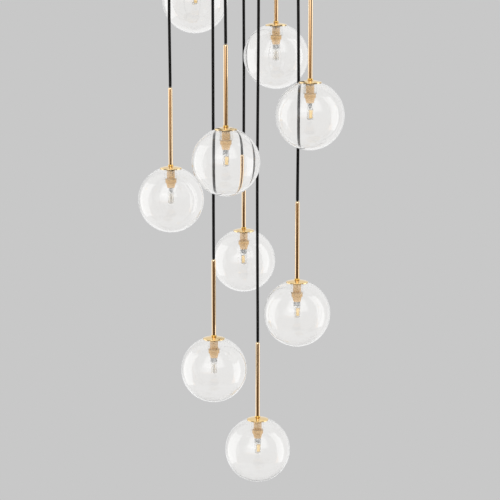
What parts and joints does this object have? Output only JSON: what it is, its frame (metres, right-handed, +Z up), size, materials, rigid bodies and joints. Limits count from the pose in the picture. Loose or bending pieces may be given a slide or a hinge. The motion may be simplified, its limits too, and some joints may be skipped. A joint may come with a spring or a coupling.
{
  "type": "cluster pendant light",
  "caption": "Ceiling light with a cluster of clear glass globes at stepped heights, each with a small capsule bulb, hung by black cords and slim brass stems from a round canopy.",
  "frame": {"origin": "on the ceiling, at the middle of the flat top face of the ceiling bracket", "axes": "+Z up into the ceiling; -Y towards the viewer of the picture; +X to the viewer's right"},
  "size_m": [0.4924, 0.508, 1.6184],
  "materials": {
    "polished_brass": "polished",
    "satin_brass": "satin",
    "black_cord": "fine braid",
    "clear_glass": "clear blown",
    "bulb_glass": "clear",
    "zinc_steel": "zinc plated",
    "white_plastic": "matte"
  },
  "bodies": {
    "ceiling_mounting": {"ceiling_bracket": "zinc_steel", "terminal_block": "white_plastic", "canopy": "polished_brass", "canopy_screw_1": "polished_brass", "canopy_screw_2": "polished_brass", "canopy_screw_3": "polished_brass"},
    "pendant_1_cord": {"cord_1": "black_cord"},
    "pendant_1_stem": {"stem_1": "satin_brass", "glass_cap_1": "polished_brass", "lampholder_1": "satin_brass"},
    "pendant_1_bulb": {"capsule_bulb_1": "bulb_glass"},
    "pendant_1_globe": {"glass_globe_1": "clear_glass"},
    "pendant_2_cord": {"cord_2": "black_cord"},
    "pendant_2_stem": {"stem_2": "satin_brass", "glass_cap_2": "polished_brass", "lampholder_2": "satin_brass"},
    "pendant_2_bulb": {"capsule_bulb_2": "bulb_glass"},
    "pendant_2_globe": {"glass_globe_2": "clear_glass"},
    "pendant_3_cord": {"cord_3": "black_cord"},
    "pendant_3_stem": {"stem_3": "satin_brass", "glass_cap_3": "polished_brass", "lampholder_3": "satin_brass"},
    "pendant_3_bulb": {"capsule_bulb_3": "bulb_glass"},
    "pendant_3_globe": {"glass_globe_3": "clear_glass"},
    "pendant_4_cord": {"cord_4": "black_cord"},
    "pendant_4_stem": {"stem_4": "satin_brass", "glass_cap_4": "polished_brass", "lampholder_4": "satin_brass"},
    "pendant_4_bulb": {"capsule_bulb_4": "bulb_glass"},
    "pendant_4_globe": {"glass_globe_4": "clear_glass"},
    "pendant_5_cord": {"cord_5": "black_cord"},
    "pendant_5_stem": {"stem_5": "satin_brass", "glass_cap_5": "polished_brass", "lampholder_5": "satin_brass"},
    "pendant_5_bulb": {"capsule_bulb_5": "bulb_glass"},
    "pendant_5_globe": {"glass_globe_5": "clear_glass"},
    "pendant_6_cord": {"cord_6": "black_cord"},
    "pendant_6_stem": {"stem_6": "satin_brass", "glass_cap_6": "polished_brass", "lampholder_6": "satin_brass"},
    "pendant_6_bulb": {"capsule_bulb_6": "bulb_glass"},
    "pendant_6_globe": {"glass_globe_6": "clear_glass"},
    "pendant_7_cord": {"cord_7": "black_cord"},
    "pendant_7_stem": {"stem_7": "satin_brass", "glass_cap_7": "polished_brass", "lampholder_7": "satin_brass"},
    "pendant_7_bulb": {"capsule_bulb_7": "bulb_glass"},
    "pendant_7_globe": {"glass_globe_7": "clear_glass"},
    "pendant_8_cord": {"cord_8": "black_cord"},
    "pendant_8_stem": {"stem_8": "satin_brass", "glass_cap_8": "polished_brass", "lampholder_8": "satin_brass"},
    "pendant_8_bulb": {"capsule_bulb_8": "bulb_glass"},
    "pendant_8_globe": {"glass_globe_8": "clear_glass"},
    "pendant_9_cord": {"cord_9": "black_cord"},
    "pendant_9_stem": {"stem_9": "satin_brass", "glass_cap_9": "polished_brass", "lampholder_9": "satin_brass"},
    "pendant_9_bulb": {"capsule_bulb_9": "bulb_glass"},
    "pendant_9_globe": {"glass_globe_9": "clear_glass"}
  },
  "joints": [
    {"name": "pendant_1_swing", "type": "hinge", "parent": "ceiling_mounting", "child": "pendant_1_cord", "pos_m": [-0.12668, 0.13335, -0.0425], "axis": [0.7071, 0.7071, 0], "range_deg": [-5.5, 25]},
    {"name": "pendant_1_stem_tilt", "type": "hinge", "parent": "pendant_1_cord", "child": "pendant_1_stem", "pos_m": [-0.12668, 0.13335, -0.26013], "axis": [-0.7071, 0.7071, 0], "range_deg": [-6.5, 10]},
    {"name": "pendant_1_bulb_removal", "type": "slide", "parent": "pendant_1_stem", "child": "pendant_1_bulb", "axis": [0, 0, -1], "range_m": [0, 0.012]},
    {"name": "pendant_1_globe_removal", "type": "slide", "parent": "pendant_1_stem", "child": "pendant_1_globe", "axis": [0, 0, -1], "range_m": [0, 0.088]},
    {"name": "pendant_2_swing", "type": "hinge", "parent": "ceiling_mounting", "child": "pendant_2_cord", "pos_m": [0.06, 0.12818, -0.0425], "axis": [0.5, -0.866, 0], "range_deg": [-1.5, 25]},
    {"name": "pendant_2_stem_tilt", "type": "hinge", "parent": "pendant_2_cord", "child": "pendant_2_stem", "pos_m": [0.06, 0.12818, -0.3875], "axis": [-0.866, -0.5, 0], "range_deg": [-1, 20]},
    {"name": "pendant_2_bulb_removal", "type": "slide", "parent": "pendant_2_stem", "child": "pendant_2_bulb", "axis": [0, 0, -1], "range_m": [0, 0.012]},
    {"name": "pendant_2_globe_removal", "type": "slide", "parent": "pendant_2_stem", "child": "pendant_2_globe", "axis": [0, 0, -1], "range_m": [0, 0.088]},
    {"name": "pendant_3_swing", "type": "hinge", "parent": "ceiling_mounting", "child": "pendant_3_cord", "pos_m": [0.12968, -0.16298, -0.0425], "axis": [0.2588, -0.9659, 0], "range_deg": [-4.5, 25]},
    {"name": "pendant_3_stem_tilt", "type": "hinge", "parent": "pendant_3_cord", "child": "pendant_3_stem", "pos_m": [0.12968, -0.16298, -0.4943], "axis": [-0.9659, -0.2588, 0], "range_deg": [-3.5, 20]},
    {"name": "pendant_3_bulb_removal", "type": "slide", "parent": "pendant_3_stem", "child": "pendant_3_bulb", "axis": [0, 0, -1], "range_m": [0, 0.012]},
    {"name": "pendant_3_globe_removal", "type": "slide", "parent": "pendant_3_stem", "child": "pendant_3_globe", "axis": [0, 0, -1], "range_m": [0, 0.088]},
    {"name": "pendant_4_swing", "type": "hinge", "parent": "ceiling_mounting", "child": "pendant_4_cord", "pos_m": [-0.05257, -0.14303, -0.0425], "axis": [-0.7071, 0.7071, 0], "range_deg": [-5, 25]},
    {"name": "pendant_4_stem_tilt", "type": "hinge", "parent": "pendant_4_cord", "child": "pendant_4_stem", "pos_m": [-0.05257, -0.14303, -0.59801], "axis": [-0.7071, -0.7071, 0], "range_deg": [-3.5, 18]},
    {"name": "pendant_4_bulb_removal", "type": "slide", "parent": "pendant_4_stem", "child": "pendant_4_bulb", "axis": [0, 0, -1], "range_m": [0, 0.012]},
    {"name": "pendant_4_globe_removal", "type": "slide", "parent": "pendant_4_stem", "child": "pendant_4_globe", "axis": [0, 0, -1], "range_m": [0, 0.088]},
    {"name": "pendant_5_swing", "type": "hinge", "parent": "ceiling_mounting", "child": "pendant_5_cord", "pos_m": [-0.18008, 0.02003, -0.0425], "axis": [-0.5, 0.866, 0], "range_deg": [-6.5, 25]},
    {"name": "pendant_5_stem_tilt", "type": "hinge", "parent": "pendant_5_cord", "child": "pendant_5_stem", "pos_m": [-0.18008, 0.02003, -0.70568], "axis": [0.866, 0.5, 0], "range_deg": [-2.5, 20]},
    {"name": "pendant_5_bulb_removal", "type": "slide", "parent": "pendant_5_stem", "child": "pendant_5_bulb", "axis": [0, 0, -1], "range_m": [0, 0.012]},
    {"name": "pendant_5_globe_removal", "type": "slide", "parent": "pendant_5_stem", "child": "pendant_5_globe", "axis": [0, 0, -1], "range_m": [0, 0.088]},
    {"name": "pendant_6_swing", "type": "hinge", "parent": "ceiling_mounting", "child": "pendant_6_cord", "pos_m": [-0.01485, 0.19268, -0.0425], "axis": [0.866, -0.5, 0], "range_deg": [-1, 25]},
    {"name": "pendant_6_stem_tilt", "type": "hinge", "parent": "pendant_6_cord", "child": "pendant_6_stem", "pos_m": [-0.01485, 0.19268, -0.87864], "axis": [0.5, 0.866, 0], "range_deg": [-1, 20]},
    {"name": "pendant_6_bulb_removal", "type": "slide", "parent": "pendant_6_stem", "child": "pendant_6_bulb", "axis": [0, 0, -1], "range_m": [0, 0.012]},
    {"name": "pendant_6_globe_removal", "type": "slide", "parent": "pendant_6_stem", "child": "pendant_6_globe", "axis": [0, 0, -1], "range_m": [0, 0.088]},
    {"name": "pendant_7_swing", "type": "hinge", "parent": "ceiling_mounting", "child": "pendant_7_cord", "pos_m": [0.10597, -0.06893, -0.0425], "axis": [0.5, -0.866, 0], "range_deg": [-1.5, 25]},
    {"name": "pendant_7_stem_tilt", "type": "hinge", "parent": "pendant_7_cord", "child": "pendant_7_stem", "pos_m": [0.10597, -0.06893, -0.95174], "axis": [-0.866, -0.5, 0], "range_deg": [-7, 20]},
    {"name": "pendant_7_bulb_removal", "type": "slide", "parent": "pendant_7_stem", "child": "pendant_7_bulb", "axis": [0, 0, -1], "range_m": [0, 0.012]},
    {"name": "pendant_7_globe_removal", "type": "slide", "parent": "pendant_7_stem", "child": "pendant_7_globe", "axis": [0, 0, -1], "range_m": [0, 0.088]},
    {"name": "pendant_8_swing", "type": "hinge", "parent": "ceiling_mounting", "child": "pendant_8_cord", "pos_m": [-0.08228, -0.0348, -0.0425], "axis": [-0.866, 0.5, 0], "range_deg": [-1, 25]},
    {"name": "pendant_8_stem_tilt", "type": "hinge", "parent": "pendant_8_cord", "child": "pendant_8_stem", "pos_m": [-0.08228, -0.0348, -1.09001], "axis": [-0.5, -0.866, 0], "range_deg": [-12, 20]},
    {"name": "pendant_8_bulb_removal", "type": "slide", "parent": "pendant_8_stem", "child": "pendant_8_bulb", "axis": [0, 0, -1], "range_m": [0, 0.012]},
    {"name": "pendant_8_globe_removal", "type": "slide", "parent": "pendant_8_stem", "child": "pendant_8_globe", "axis": [0, 0, -1], "range_m": [0, 0.088]},
    {"name": "pendant_9_swing", "type": "hinge", "parent": "ceiling_mounting", "child": "pendant_9_cord", "pos_m": [0.01777, 0.00517, -0.0425], "axis": [-1, 0, 0], "range_deg": [-2, 6.5]},
    {"name": "pendant_9_stem_tilt", "type": "hinge", "parent": "pendant_9_cord", "child": "pendant_9_stem", "pos_m": [0.01777, 0.00517, -1.2916], "axis": [0, -1, 0], "range_deg": [-12, 20]},
    {"name": "pendant_9_bulb_removal", "type": "slide", "parent": "pendant_9_stem", "child": "pendant_9_bulb", "axis": [0, 0, -1], "range_m": [0, 0.012]},
    {"name": "pendant_9_globe_removal", "type": "slide", "parent": "pendant_9_stem", "child": "pendant_9_globe", "axis": [0, 0, -1], "range_m": [0, 0.088]}
  ]
}
